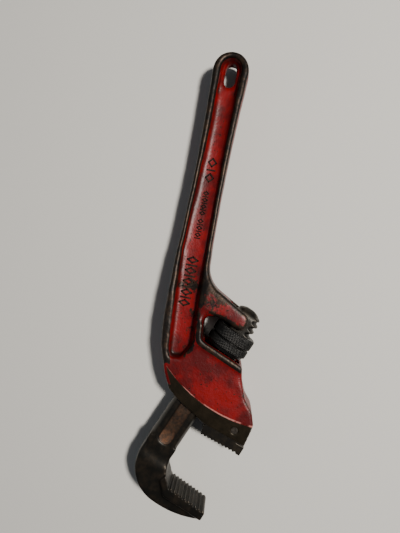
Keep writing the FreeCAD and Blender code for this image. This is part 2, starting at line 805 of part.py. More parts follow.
def place_parts(parts):
    across = Rotation(Vector(1, 0, 0), -90)
    coil_place = Placement(Vector(size("coil_x"), size("coil_start"), 0), across)
    for part in parts:
        extra = None
        if part.Label == "adjusting_nut":
            extra = Placement(Vector(), along_shank())
        if part.Label == "coil_spring":
            extra = coil_place
        part.Placement = to_row(part.Label != "handle_housing", extra)
    DOC.recompute()


def check_document(parts):
    for item in DOC.Objects:
        if "Invalid" in item.State or "Error" in item.State:
            raise RuntimeError(f"{item.Name} failed: {item.State}")
    for part in parts:
        if part.Shape.isNull() or not part.Shape.isValid():
            raise RuntimeError(f"{part.Label} has no valid shape")
        solids = len(part.Shape.Solids)
        print(part.Label, "solids", solids, "volume", round(part.Shape.Volume))


def main():
    fill_sheet()
    parts = [
        make_handle_housing(),
        make_hook_jaw(),
        make_adjusting_nut(),
        make_heel_jaw(),
        make_heel_jaw_pin(),
        make_flat_spring(),
        make_coil_spring(),
    ]
    place_parts(parts)
    check_document(parts)
    os.makedirs("parts", exist_ok=True)
    whole = FreeCAD.BoundBox()
    for part in parts:
        whole.add(part.Shape.BoundBox)
        part.Shape.exportStep(f"parts/{part.Label}.step")
    print("box", whole)


main()
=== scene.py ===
# %% [markdown]
# # An offset pipe wrench
# The tool has seven pieces. A cast iron handle and head in one, painted red and worn dark on its
# rims, holds a forged hook jaw whose threaded shank runs through the head. A knurled nut in the
# head's window moves the hook. A toothed heel jaw is pinned into the head's end, and two small
# springs inside steady the shank.
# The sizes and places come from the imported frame. This file makes each visible piece's finished
# surface: the softened edges of a casting or a forging, the knurl, the raised marks, the wear.

import json
import math

import bmesh
import bpy
import numpy as np
from mathutils import Matrix, Vector, noise


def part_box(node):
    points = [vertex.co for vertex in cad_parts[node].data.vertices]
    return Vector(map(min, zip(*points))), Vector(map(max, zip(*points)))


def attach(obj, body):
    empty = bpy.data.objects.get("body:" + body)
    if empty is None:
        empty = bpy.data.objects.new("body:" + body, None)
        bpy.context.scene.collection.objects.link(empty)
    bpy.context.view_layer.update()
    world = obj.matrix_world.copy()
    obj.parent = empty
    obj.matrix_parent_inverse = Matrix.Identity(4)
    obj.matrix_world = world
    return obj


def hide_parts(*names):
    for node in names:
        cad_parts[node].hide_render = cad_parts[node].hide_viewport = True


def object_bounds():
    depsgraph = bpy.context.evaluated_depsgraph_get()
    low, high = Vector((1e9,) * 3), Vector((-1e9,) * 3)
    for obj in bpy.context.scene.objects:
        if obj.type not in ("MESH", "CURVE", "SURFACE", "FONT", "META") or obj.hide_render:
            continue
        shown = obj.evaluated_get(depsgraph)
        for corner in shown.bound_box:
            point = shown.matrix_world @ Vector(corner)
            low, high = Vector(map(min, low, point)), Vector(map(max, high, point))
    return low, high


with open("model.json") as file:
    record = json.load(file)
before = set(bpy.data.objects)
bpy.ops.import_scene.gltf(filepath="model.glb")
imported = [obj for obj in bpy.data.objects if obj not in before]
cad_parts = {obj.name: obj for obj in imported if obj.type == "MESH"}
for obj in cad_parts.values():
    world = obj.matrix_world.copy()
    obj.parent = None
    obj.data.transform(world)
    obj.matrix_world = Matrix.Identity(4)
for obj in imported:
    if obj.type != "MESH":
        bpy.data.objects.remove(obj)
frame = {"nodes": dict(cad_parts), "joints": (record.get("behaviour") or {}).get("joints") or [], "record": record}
cad_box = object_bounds()
MM = 0.001
print("CAD box in mm:", [[round(v / MM, 1) for v in corner] for corner in cad_box])

# %% [markdown]
# ## Two directions
# Everything on the tool lines up with one of two directions. The handle runs along X. The shank,
# the nut and both jaws line up with the shank's axis, which leans away from the handle. The frame
# has that axis as the direction in which the hook slides, and the nut's centre as the point that
# the nut turns about. `jaw_coords` gives any point's distance along the shank and across it, in
# millimetres, so later steps can say "past the bevel" or "on the mouth side" in plain numbers.

# %% Directions and places from the frame
joints = {joint["name"]: joint for joint in frame["joints"]}
SHANK_AXIS = Vector(joints["hook_slide"]["axis"])
NUT_CENTRE = Vector(joints["nut_spin"]["pos_m"])
MOUTH_AXIS = Vector((-SHANK_AXIS.y, SHANK_AXIS.x, 0.0))
mounts = {mount["name"]: mount for mount in frame["record"]["mounts"]}
HANG_SLOT = Vector(mounts["hang_slot"]["pos_m"])
HANDLE_LINE_Y = HANG_SLOT.y


def jaw_coords(points):
    """Distances in mm along the shank, across it towards the mouth, and up, from the nut's centre."""
    offset = (np.asarray(points) - np.array(NUT_CENTRE)) / MM
    return offset @ np.array(SHANK_AXIS), offset @ np.array(MOUTH_AXIS), offset[:, 2]


print("shank axis:", [round(v, 3) for v in SHANK_AXIS])
print("nut centre in mm:", [round(v / MM, 1) for v in NUT_CENTRE])

# %% [markdown]
# ## Camera, floor and light
# The wrench is seen from almost straight above and from close by, as by someone bending over a
# table, so its head and its handle spread away from the middle of the view. A real lens at that
# distance does this by itself, so the camera stands where that person's eyes would be. The light
# is one lamp high on the mouth side, small enough to give a shadow with a clear edge. A broad weak
# one opposite keeps the shade in the recess from going black.

# %% Camera
# Distances in metres. The eye's place is given from the nut's centre, and the point that it looks
# at from the spot right under the eye.
EYE_HEIGHT = 0.302
EYE_BESIDE_NUT = Vector((-0.0556, -0.0118, 0.0))
AIM_BESIDE_EYE = Vector((0.0064, -0.0218, 0.0))
PICTURE_UP = Vector((-0.98, -0.20, 0.0))
FIELD_OF_VIEW = math.radians(67.3)

eye = NUT_CENTRE + EYE_BESIDE_NUT + Vector((0, 0, EYE_HEIGHT))
aim = eye + AIM_BESIDE_EYE - Vector((0, 0, EYE_HEIGHT))


def turned_to(backward, up):
    """The rotation of a camera or lamp whose -Z looks away from backward, with up in the picture."""
    z_axis = backward.normalized()
    x_axis = up.cross(z_axis).normalized()
    y_axis = z_axis.cross(x_axis)
    return Matrix((x_axis, y_axis, z_axis)).transposed().to_4x4()


camera_data = bpy.data.cameras.new("bench_camera")
camera_data.sensor_fit = "VERTICAL"
camera_data.angle = FIELD_OF_VIEW
camera_data.clip_start = 0.01
camera = bpy.data.objects.new("bench_camera", camera_data)
bpy.context.scene.collection.objects.link(camera)
camera.matrix_world = Matrix.Translation(eye) @ turned_to(eye - aim, PICTURE_UP)
bpy.context.scene.camera = camera
print("camera height above the middle of the tool, mm:", round(EYE_HEIGHT / MM))

# %% Floor and lamps
FLOOR_SIZE = 3.0
FLOOR_GAP = 0.0005
FLOOR_COLOUR = (0.55, 0.54, 0.51, 1)
DAYLIGHT = (0.80, 0.86, 1.0, 1)
DAYLIGHT_STRENGTH = 0.06


def node_material(name):
    """A new material with a bare Principled shader. Gives back the tree and the shader."""
    material = bpy.data.materials.new(name)
    material.use_nodes = True
    return material, material.node_tree, material.node_tree.nodes["Principled BSDF"]


def make_floor():
    """A plain pale floor just under the lowest point of the tool."""
    shape = bmesh.new()
    bmesh.ops.create_grid(shape, x_segments=1, y_segments=1, size=FLOOR_SIZE / 2)
    mesh = bpy.data.meshes.new("floor")
    shape.to_mesh(mesh)
    shape.free()
    floor = bpy.data.objects.new("floor", mesh)
    floor.location.z = cad_box[0][2] - FLOOR_GAP
    bpy.context.scene.collection.objects.link(floor)
    material, _, shader = node_material("pale_floor")
    shader.inputs["Base Color"].default_value = FLOOR_COLOUR
    shader.inputs["Roughness"].default_value = 0.9
    mesh.materials.append(material)


def lamp(name, place, size, power, colour):
    """A square lamp that faces the tool."""
    data = bpy.data.lights.new(name, "AREA")
    data.size = size
    data.energy = power
    data.color = colour
    made = bpy.data.objects.new(name, data)
    bpy.context.scene.collection.objects.link(made)
    made.matrix_world = Matrix.Translation(place) @ turned_to(place - NUT_CENTRE, Vector((0, 0, 1)))


make_floor()
lamp("key_lamp", Vector((-0.22, 0.50, 1.10)), 0.14, 25, (1.0, 0.96, 0.90))
lamp("fill_lamp", Vector((0.10, -0.80, 0.70)), 0.80, 1.0, (0.88, 0.94, 1.0))
room = bpy.data.worlds.new("room")
room.use_nodes = True
sky = room.node_tree.nodes["Background"]
sky.inputs["Color"].default_value = DAYLIGHT
sky.inputs["Strength"].default_value = DAYLIGHT_STRENGTH
bpy.context.scene.world = room

# %% [markdown]
# ## From a machined shape to a casting
# CAD gives every piece sharp corners. A casting or a forging has none: sand and dies leave soft
# ones, and years in a tool bag soften them more. A bevel can't be put on a mesh with as many odd
# corners as the head has, so each piece is remeshed instead, which covers it with small even
# faces, and then smoothed. A little slow noise moves the surface in and out by a tenth of a
# millimetre, which is what makes cast iron look cast when light grazes it.

# %% Remesh, smooth and roughen
JOIN_WITHIN = 0.002


def remeshed_copy(node, name, voxel):
    """A copy of a CAD node's mesh with its loose triangles joined, as small even faces."""
    mesh = frame["nodes"][node].data.copy()
    mesh.name = name
    mesh.materials.clear()
    shape = bmesh.new()
    shape.from_mesh(mesh)
    bmesh.ops.remove_doubles(shape, verts=shape.verts, dist=JOIN_WITHIN * MM)
    shape.to_mesh(mesh)
    shape.free()
    piece = bpy.data.objects.new(name, mesh)
    bpy.context.scene.collection.objects.link(piece)
    remesh = piece.modifiers.new("even_faces", "REMESH")
    remesh.mode = "VOXEL"
    remesh.voxel_size = voxel * MM
    remesh.adaptivity = 0.0
    remesh.use_smooth_shade = True
    seen = piece.evaluated_get(bpy.context.evaluated_depsgraph_get())
    finished = bpy.data.meshes.new_from_object(seen)
    piece.modifiers.clear()
    piece.data = finished
    bpy.data.meshes.remove(mesh)
    finished.name = name
    return piece


def points_of(mesh):
    flat = np.empty(len(mesh.vertices) * 3)
    mesh.vertices.foreach_get("co", flat)
    return flat.reshape(-1, 3)


def normals_of(mesh):
    flat = np.empty(len(mesh.vertices) * 3)
    mesh.vertices.foreach_get("normal", flat)
    return flat.reshape(-1, 3)


def move_points(mesh, points):
    mesh.vertices.foreach_set("co", points.reshape(-1))
    mesh.update()


def edge_pairs(mesh):
    flat = np.empty(len(mesh.edges) * 2, dtype=np.int64)
    mesh.edges.foreach_get("vertices", flat)
    return flat.reshape(-1, 2)


def neighbour_mean(values, pairs):
    """For each vertex, the mean of a value over the vertices that it shares an edge with."""
    total = np.zeros_like(values)
    count = np.zeros(len(values))
    for a, b in ((0, 1), (1, 0)):
        np.add.at(total, pairs[:, a], values[pairs[:, b]])
        np.add.at(count, pairs[:, a], 1)
    count = np.maximum(count, 1)
    return total / (count[:, None] if values.ndim == 2 else count)


def soften(mesh, rounds, weight=None):
    """Round off corners: move each point part of the way to the middle of its neighbours."""
    pairs = edge_pairs(mesh)
    points = points_of(mesh)
    share = 0.5 if weight is None else 0.5 * weight[:, None]
    for _ in range(rounds):
        points += (neighbour_mean(points, pairs) - points) * share
    move_points(mesh, points)


def roughen(mesh, wave, height, seed=0):
    """Move the surface in and out by slow noise. Wave and height are in mm."""
    points = points_of(mesh)
    normals = normals_of(mesh)
    shift = Vector((seed, seed * 2.0, seed * 3.0))
    amount = np.array([noise.noise(Vector(p) / (wave * MM) + shift) for p in points])
    move_points(mesh, points + normals * (amount * height * MM)[:, None])


# %% [markdown]
# ## Where use shows
# Hands and pipes rub paint and oxide off whatever stands proud, and dirt stays in what lies low. So
# each surface gets two measures at every vertex: `wear`, how far it stands out from the smoothed
# shape around it, and `grime`, how far it lies in. The finishes read both by name.

# %% Measure wear and grime
def save_measure(mesh, name, values):
    layer = mesh.attributes.get(name) or mesh.attributes.new(name, "FLOAT", "POINT")
    layer.data.foreach_set("value", np.clip(values, 0.0, 1.0).astype(np.float32))


def measure_use(mesh, rounds, full):
    """Save wear and grime. Full is the height in mm, off the smooth shape, that counts as 1."""
    pairs = edge_pairs(mesh)
    points = points_of(mesh)
    smooth = points.copy()
    for _ in range(rounds):
        smooth = neighbour_mean(smooth, pairs)
    height = ((points - smooth) * normals_of(mesh)).sum(axis=1) / MM
    save_measure(mesh, "wear", height / full)
    save_measure(mesh, "grime", -height / full)


# %% [markdown]
# ## Finishes
# Every finish starts from the same few nodes, so `Finish` has a short call for each: noise of a
# given wave length in mm, a measure read from the mesh, a smooth step, a blend of two colours.

# %% A small kit for materials
# The numbers of the Mix node's sockets that carry colours.
MIX_FIRST, MIX_SECOND, MIX_RESULT = 6, 7, 2


class Finish:
    """A material and short ways to add the few nodes that the finishes share."""

    def __init__(self, name):
        self.material, self.tree, self.shader = node_material(name)
        self.place = self.tree.nodes.new("ShaderNodeTexCoord").outputs["Object"]

    def feed(self, socket, value):
        """Link a socket to a node's output, or set the socket's own value."""
        if isinstance(value, bpy.types.NodeSocket):
            self.tree.links.new(value, socket)
        else:
            socket.default_value = value

    def noise(self, wave, detail=4.0, roughness=0.6):
        """Noise about 0.5. Wave is the length in mm of its largest lumps."""
        node = self.tree.nodes.new("ShaderNodeTexNoise")
        self.feed(node.inputs["Vector"], self.place)
        node.inputs["Scale"].default_value = 1 / (wave * MM)
        node.inputs["Detail"].default_value = detail
        node.inputs["Roughness"].default_value = roughness
        return node.outputs["Fac"]

    def measure(self, name):
        """A measure that was saved on the mesh's vertices."""
        node = self.tree.nodes.new("ShaderNodeAttribute")
        node.attribute_name = name
        return node.outputs["Fac"]

    def distance(self, axis):
        """The distance in mm from the nut's centre along an axis."""
        node = self.tree.nodes.new("ShaderNodeVectorMath")
        node.operation = "DOT_PRODUCT"
        self.feed(node.inputs[0], self.place)
        node.inputs[1].default_value = axis / MM
        return self.maths("SUBTRACT", node.outputs["Value"], NUT_CENTRE.dot(axis) / MM)

    def maths(self, operation, first, second):
        node = self.tree.nodes.new("ShaderNodeMath")
        node.operation = operation
        self.feed(node.inputs[0], first)
        self.feed(node.inputs[1], second)
        return node.outputs[0]

    def step(self, value, low, high, at_low=0.0, at_high=1.0):
        """A smooth step from at_low to at_high as value goes from low to high."""
        node = self.tree.nodes.new("ShaderNodeMapRange")
        node.interpolation_type = "SMOOTHSTEP"
        self.feed(node.inputs["Value"], value)
        node.inputs["From Min"].default_value = low
        node.inputs["From Max"].default_value = high
        node.inputs["To Min"].default_value = at_low
        node.inputs["To Max"].default_value = at_high
        return node.outputs["Result"]

    def blend(self, share, first, second):
        """A colour between first, at share 0, and second, at share 1."""
        node = self.tree.nodes.new("ShaderNodeMix")
        node.data_type = "RGBA"
        self.feed(node.inputs["Factor"], share)
        for number, colour in ((MIX_FIRST, first), (MIX_SECOND, second)):
            colour = (*colour, 1.0) if isinstance(colour, tuple) else colour
            self.feed(node.inputs[number], colour)
        return node.outputs[MIX_RESULT]

    def bump(self, height, depth):
        """Fine relief up to depth in mm."""
        node = self.tree.nodes.new("ShaderNodeBump")
        node.inputs["Distance"].default_value = depth * MM
        self.feed(node.inputs["Height"], height)
        self.feed(self.shader.inputs["Normal"], node.outputs["Normal"])

    def finish(self, **inputs):
        """Set or link the shader's inputs, such as Base_Color or Roughness."""
        for name, value in inputs.items():
            self.feed(self.shader.inputs[name.replace("_", " ")], value)
        return self.material


# %% [markdown]
# ## Worn red paint
# The casting was dipped or sprayed red. Where hands rub, on the rims of the flanges and the bead
# round the window, the paint is gone and brown-black iron shows, with a ragged edge. So paint and
# iron are blended by one sum: how bare the place is marked, how far it stands out, and noise that
# makes the border ragged. The bevel at the head's end was ground after casting, so it has no paint,
# and a thin pale line along its upper edge is a painted highlight, where light catches the rounded
# edge. Both follow the shank's axis, so the material works out each point's distance along that
# axis by itself and stays crisp on a coarse mesh.

# %% Worn red paint over cast iron
PAINT_BRIGHT = (0.165, 0.0016, 0.0024)
PAINT_DEEP = (0.062, 0.0012, 0.0016)
# The colour of dirt in hollows, also used as painted shade on the window's walls.
PAINT_DIRT_AND_SHADE = (0.016, 0.0045, 0.0035)
# The colour of a painted highlight along the bevel's upper edge.
PAINTED_EDGE_HIGHLIGHT = (0.36, 0.14, 0.12)
IRON_DARK = (0.012, 0.010, 0.009)
IRON_BROWN = (0.036, 0.022, 0.014)
IRON_RUBBED = (0.10, 0.080, 0.070)
BEVEL_DARK = (0.020, 0.016, 0.010)
BEVEL_BROWN = (0.034, 0.025, 0.015)
# The bevel's upper edge bows towards the jaws: it starts this far along the shank, in mm, at the
# middle of its length, which is this far across the shank, and earlier to either side of it.
BEVEL_STARTS = 48.4
BEVEL_MIDDLE = 11.0
BEVEL_BOW = 0.0050
# The painted highlight along the bevel's upper edge is this wide at the middle and widens by its slope towards the
# mouth.
EDGE_LINE_WIDTH = 0.6
EDGE_LINE_SLOPE = 0.016
# A step starts and ends at these values of what it reads.
IRON_SHOWS = (1.32, 1.44)
CHIP_EDGE = (0.66, 0.69)
MARKED = (0.4, 0.6)


def bevel_shares(worn, fine, broad):
    """How much of a point is on the ground bevel, and how much under the painted highlight line above it."""
    aside = worn.maths("SUBTRACT", worn.distance(MOUTH_AXIS), BEVEL_MIDDLE)
    bow = worn.maths("MULTIPLY", worn.maths("MULTIPLY", aside, aside), BEVEL_BOW)
    along = worn.maths("ADD", worn.distance(SHANK_AXIS), worn.maths("MULTIPLY", fine, 0.8))
    along = worn.maths("ADD", along, bow)
    unpainted = worn.step(worn.measure("painted"), *MARKED, 1.0, 0.0)
    on_bevel = worn.maths("MULTIPLY", worn.step(along, BEVEL_STARTS + 0.3, BEVEL_STARTS + 0.5), unpainted)
    line_from = worn.maths("ADD", along, worn.maths("MULTIPLY", aside, EDGE_LINE_SLOPE))
    line = worn.step(line_from, BEVEL_STARTS - EDGE_LINE_WIDTH, BEVEL_STARTS - 0.2)
    line = worn.maths("MULTIPLY", worn.maths("MULTIPLY", line, unpainted), worn.step(broad, 0.36, 0.50))
    return on_bevel, line


def paint_finish():
    """Red paint that gives way to iron where marked bare or proud, plus dirt, painted shade and a painted
    highlight.
    """
    worn = Finish("worn_red_paint")
    wear, grime, bare = (worn.measure(name) for name in ("wear", "grime", "bare"))
    broad = worn.noise(13, 6.0, 0.62)
    fine = worn.noise(2.4, 6.0, 0.7)
    breakup = worn.maths("ADD", worn.maths("MULTIPLY", broad, 1.1), worn.maths("MULTIPLY", fine, 0.6))
    exposed = worn.maths("ADD", worn.maths("ADD", bare, worn.maths("MULTIPLY", wear, 0.45)), breakup)
    chips = worn.step(worn.noise(1.9, 3.0, 0.5), *CHIP_EDGE)
    is_bare = worn.maths("MAXIMUM", worn.step(exposed, *IRON_SHOWS), chips)
    rub = worn.maths("ADD", wear, worn.maths("MULTIPLY", fine, 0.5))
    red = worn.blend(worn.step(worn.noise(22, 5.0), 0.38, 0.60), PAINT_DEEP, PAINT_BRIGHT)
    iron = worn.blend(worn.step(worn.noise(5.5, 7.0, 0.7), 0.42, 0.62), IRON_DARK, IRON_BROWN)
    iron = worn.blend(worn.step(rub, 0.95, 1.45), iron, IRON_RUBBED)
    bevel = worn.blend(worn.step(worn.noise(9, 6.0, 0.6), 0.35, 0.65), BEVEL_DARK, BEVEL_BROWN)
    bevel = worn.blend(worn.step(rub, 1.0, 1.5), bevel, IRON_RUBBED)
    on_bevel, edge_highlight = bevel_shares(worn, fine, broad)
    # Dirt in hollows and painted shade on the window's walls darken the colour through one measure.
    colour = worn.blend(worn.step(grime, 0.10, 0.8), worn.blend(is_bare, red, iron), PAINT_DIRT_AND_SHADE)
    # Painted highlight: a pale line where light catches the bevel's rounded upper edge.
    colour = worn.blend(edge_highlight, colour, PAINTED_EDGE_HIGHLIGHT)
    metal = worn.maths("MAXIMUM", is_bare, on_bevel)
    worn.bump(worn.noise(1.5, 5.0, 0.6), 0.16)
    return worn.finish(
        Base_Color=worn.blend(on_bevel, colour, bevel),
        Metallic=worn.step(metal, 0.0, 1.0, 0.0, 0.65),
        Specular_IOR_Level=0.28,
        Roughness=worn.step(metal, 0.0, 1.0, 0.38, 0.42),
    )


paint = paint_finish()
print("paint nodes:", len(paint.node_tree.nodes))

# %% [markdown]
# ## Dark steel
# The hook, the nut and the heel jaw are steel under a dark oxide from the forge and the quench.
# They differ only in how brown and how polished they are, so one function makes all three. Rust is
# brown, dull and not a metal, so where the mesh is marked for it the shader's metallic share falls
# as the colour changes.

# %% Dark steel, oxidised and rubbed
OXIDE_DIRT = (0.004, 0.0035, 0.003)
RUST_DARK = (0.045, 0.020, 0.008)
RUST_LIGHT = (0.15, 0.055, 0.018)
RUST_ROUGH = 0.72


def steel_finish(name, dark, brown, rubbed, rough, rub_low, rub_high):
    """Steel under a dark oxide, rubbed bright where it stands proud, with rust where marked."""
    steel = Finish(name)
    wear, grime, rust = (steel.measure(measure) for measure in ("wear", "grime", "rust"))
    colour = steel.blend(steel.step(steel.noise(7, 6.0, 0.65), 0.40, 0.66), dark, brown)
    grain = steel.noise(1.5, 6.0, 0.7)
    rub = steel.maths("ADD", wear, steel.maths("MULTIPLY", grain, 0.35))
    colour = steel.blend(steel.step(rub, rub_low, rub_high), colour, rubbed)
    rust_share = steel.maths("MULTIPLY", rust, steel.step(grain, 0.22, 0.62, 0.35, 1.0))
    rust_noise = steel.step(steel.noise(2.6, 5.0, 0.7), 0.38, 0.66)
    rust_colour = steel.blend(rust_noise, RUST_DARK, RUST_LIGHT)
    colour = steel.blend(rust_share, colour, rust_colour)
    colour = steel.blend(steel.step(grime, 0.2, 1.0), colour, OXIDE_DIRT)
    steel.bump(steel.noise(0.9, 5.0, 0.65), 0.07)
    return steel.finish(
        Base_Color=colour,
        Metallic=steel.step(rust_share, 0.0, 1.0, 0.75, 0.1),
        Roughness=steel.step(rust_share, 0.0, 1.0, rough, RUST_ROUGH),
    )


forged = steel_finish(
    "oxidised_forging",
    dark=(0.013, 0.012, 0.010),
    brown=(0.030, 0.023, 0.016),
    rubbed=(0.17, 0.14, 0.115),
    rough=0.40,
    rub_low=0.95,
    rub_high=1.45,
)
knurled = steel_finish(
    "knurled_steel",
    dark=(0.010, 0.010, 0.010),
    brown=(0.017, 0.016, 0.015),
    rubbed=(0.085, 0.081, 0.076),
    rough=0.40,
    rub_low=0.70,
    rub_high=1.45,
)
hardened = steel_finish(
    "hardened_steel",
    dark=(0.016, 0.014, 0.012),
    brown=(0.034, 0.027, 0.019),
    rubbed=(0.19, 0.16, 0.13),
    rough=0.38,
    rub_low=0.80,
    rub_high=1.4,
)
print("steels:", [steel.name for steel in (forged, knurled, hardened)])

# %% [markdown]
# ## The pin and the springs
# The pin shows only its end in the bevel, and the springs are hidden in the head. The CAD shapes are
# right as they are, so these three keep their own meshes and only get a material each.

# %% Plain steel for the pin and the springs
PIN_STEEL = (0.10, 0.085, 0.07)
SPRING_STEEL = (0.32, 0.30, 0.28)
SHADE_DARKER = 0.45


def plain_steel(name, colour, rough):
    """Even steel with a slight change of shade."""
    steel = Finish(name)
    shade = steel.step(steel.noise(1.2, 5.0), 0.35, 0.7)
    darker = tuple(SHADE_DARKER * part for part in colour)
    return steel.finish(Base_Color=steel.blend(shade, darker, colour), Metallic=0.85, Roughness=rough)


def give_finish(thing, material):
    """Make this the thing's only material."""
    thing.data.materials.clear()
    thing.data.materials.append(material)


nodes = frame["nodes"]
give_finish(nodes["heel_jaw_pin"], plain_steel("worn_pin_steel", PIN_STEEL, 0.38))
spring_steel = plain_steel("spring_steel", SPRING_STEEL, 0.35)
for name in ("flat_spring", "coil_spring"):
    give_finish(nodes[name], spring_steel)
print("plain steel:", nodes["heel_jaw_pin"].name, nodes["flat_spring"].name, nodes["coil_spring"].name)

# %% [markdown]
# ## The handle and head
# The handle's flanges and recess are soft, like a bar of used soap, and the head is crisper. So the
# smoothing has a weight: full on the handle, a quarter on the head, and a tenth on the machined
# bevel at the head's end, which is bare metal. The weight comes from zones, each a soft step along
# one of the two directions. The same kind of zone later says where the casting is bare.

# %% Soft zones
def ramp(values, low, high):
    """0 up to low, 1 from high, and a smooth climb between them."""
    share = np.clip((values - low) / (high - low), 0.0, 1.0)
    return share * share * (3 - 2 * share)


def band(values, low, high, soft):
    """1 between low and high, with a soft edge outside each."""
    return ramp(values, low - soft, low) * (1 - ramp(values, high, high + soft))


def gap_to_line(x, y, corners):
    """The distance of each point from a line through corners."""
    gap = np.full(len(x), np.inf)
    for (x0, y0), (x1, y1) in zip(corners, corners[1:]):
        dx, dy = x1 - x0, y1 - y0
        share = np.clip(((x - x0) * dx + (y - y0) * dy) / (dx * dx + dy * dy), 0, 1)
        gap = np.minimum(gap, np.hypot(x - x0 - share * dx, y - y0 - share * dy))
    return gap


def finish_piece(piece, node, body, material):
    """Hide the piece's node and put the piece in its place, on its body, with its material."""
    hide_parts(node)
    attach(piece, body)
    give_finish(piece, material)
    print(f"{piece.name}: {len(piece.data.polygons)} faces, finish {material.name}")


# %% Bend the bevel's edge
# Heights and distances in mm. In CAD the bevel starts along a straight line and narrows from the
# head's full half thickness to its end's. Here the line is bowed, as the wheel left it.
CASTING_VOXEL = 0.76
CAD_EDGE = 47.0
HEAD_END = 62.0
FACE_HALF = 13.5
END_HALF = 10.6


def half_thickness(along, edge):
    """The head's half thickness, with a bevel that starts at the edge."""
    share = np.clip((along - edge) / (HEAD_END - edge), 0, 1)
    return FACE_HALF - (FACE_HALF - END_HALF) * share


casting = remeshed_copy("handle_housing", "handle_and_head", CASTING_VOXEL)
points = points_of(casting.data)
along, across, up = jaw_coords(points)
height = np.abs(up)
from_nut_x = (points[:, 0] - NUT_CENTRE.x) / MM
from_line_y = (points[:, 1] - HANDLE_LINE_Y) / MM
edge_at = BEVEL_STARTS - BEVEL_BOW * (across - BEVEL_MIDDLE) ** 2
lift = half_thickness(along, edge_at) - half_thickness(along, CAD_EDGE)
points[:, 2] += np.sign(up) * lift * MM * ramp(height, 7, 9) * ramp(along, 30, 36)
move_points(casting.data, points)
on_end = along > CAD_EDGE
print("the bevel's edge moves by up to", round(float(np.abs(edge_at - CAD_EDGE)[on_end].max()), 1), "mm")

# %% Soften the casting
# A ramp's numbers are where a zone begins and where it is full, in mm. A band's are its two ends
# and the width of its soft edges.
on_head = ramp(from_nut_x, -62, -34)
on_arm = 1 - ramp(along, -10, -2)
beside_window = ramp(across, -40, -27) * (1 - ramp(along, 16, 24))
trough = band(from_nut_x, -172, 12, 8) * band(from_line_y, -6.5, 6.5, 2) * (1 - ramp(height, 7, 10))
slope = band(from_nut_x, -46, 10, 14) * band(from_line_y, 6, 13, 4)
bead_end = band(along, -8, -2, 3) * band(across, -32, -22, 3)

head_crisp = on_head * (0.74 - 0.55 * np.maximum(on_arm, beside_window))
soften(casting.data, 34, 1.0 - (head_crisp + 0.15 * ramp(along, 42, 46)))
soften(casting.data, 50, trough)
soften(casting.data, 80, np.maximum(slope * 0.8, bead_end))
roughen(casting.data, 9, 0.14)
roughen(casting.data, 2.6, 0.05, seed=4)
measure_use(casting.data, 8, 0.42)

# %% [markdown]
# ## Where the casting is bare
# Wear alone would rub every edge alike. On a real wrench it follows the hand and the floor: the
# flanges' rims, the bead round the window, the arm and the back of the head lose their paint, the
# sloping side of the recess partly, and the window's walls are darkened with painted shade. The side
# of the head's back keeps its paint past the bevel's line, so it is marked as painted.

# %% Mark bare iron, kept paint, dirt and painted shade
# The back of the head's outline, from the neck to the bevel: mm along the shank and across it.
BACK_EDGE = [(-36, -71), (14, -50), (30, -41.3), (45.4, -28), (53.8, -18.6)]

back_gap = gap_to_line(along, across, BACK_EDGE)
handle_rim = (1 - ramp(from_nut_x, -40, -20)) * ramp(height, 5.6, 8.4)
back_rim = (1 - ramp(back_gap, 4.5, 7.0)) * (1 - ramp(along, 36, 42)) * ramp(height, 6.5, 10)
bead = on_head * ramp(height, 13.5, 14.0) * (1 - ramp(along, 20, 24))
bare = [handle_rim * 0.8, bead * 0.9, on_arm * on_head * 0.46, back_rim * 0.7, slope * 0.44]
save_measure(casting.data, "bare", np.maximum.reduce(bare))
save_measure(casting.data, "painted", (1 - ramp(back_gap, 1.8, 3.0)) * (1 - ramp(along, 49, 52)))
# Painted shade: the window's walls are darkened by adding this zone to the grime measure.
window_painted_shade = band(along, -14, 9, 1.5) * band(across, -27.5, 14, 1) * (1 - ramp(height, 9, 12.5))
grime = np.empty(len(up))
casting.data.attributes["grime"].data.foreach_get("value", grime)
save_measure(casting.data, "grime", np.maximum(grime, window_painted_shade))
finish_piece(casting, "handle_housing", "handle", paint)

# %% [markdown]
# ## The hook jaw
# A forging is rounder than a casting, except where it was cut afterwards: the thread and the teeth.
# They are kept from the smoothing, and the outside of the bend is smoothed more. The shank's free
# end was turned to a dome, so the points near it are moved in along circles. The dome's full, even
# part lies past the place that the nut reaches when the hook is out as far as it goes, because it
# has no thread and would cut into the nut. The flat panels on the shank's sides carry rust.

# %% The shank's dome
# Distances in mm along the shank from the nut's centre, and radii.
HOOK_VOXEL = 0.5
DOME_STARTS = -20.0
DOME_LENGTH = 8.0
DOME_RADIUS = 10.9
FLAT_HALF = 7.9
CLEAR_OF_NUT = -24.0

hook = remeshed_copy("hook_jaw", "hook_forging", HOOK_VOXEL)
points = points_of(hook.data)
along, across, up = jaw_coords(points)
rise = np.clip((DOME_STARTS - along) / DOME_LENGTH, 0.0, 0.97)
narrower = np.sqrt(1 - rise * rise)
off_axis = points - np.array(NUT_CENTRE) - np.outer(along * MM, np.array(SHANK_AXIS))
radius = np.maximum(np.hypot(across, up), 0.01)
faces_out = (normals_of(hook.data) * off_axis).sum(axis=1) / (radius * MM)
to_flat = FLAT_HALF * radius / np.maximum(np.abs(up), 0.01)
wanted = np.minimum(DOME_RADIUS, to_flat) / radius
threadless = ramp(faces_out, 0.3, 0.6) * (1 - ramp(along, CLEAR_OF_NUT - 2.0, CLEAR_OF_NUT))
scale = (1 + (wanted - 1) * threadless) * narrower
move_points(hook.data, points + off_axis * (scale - 1)[:, None])
print("the dome ends", round(float(-along.min()), 1), "mm from the nut's centre")

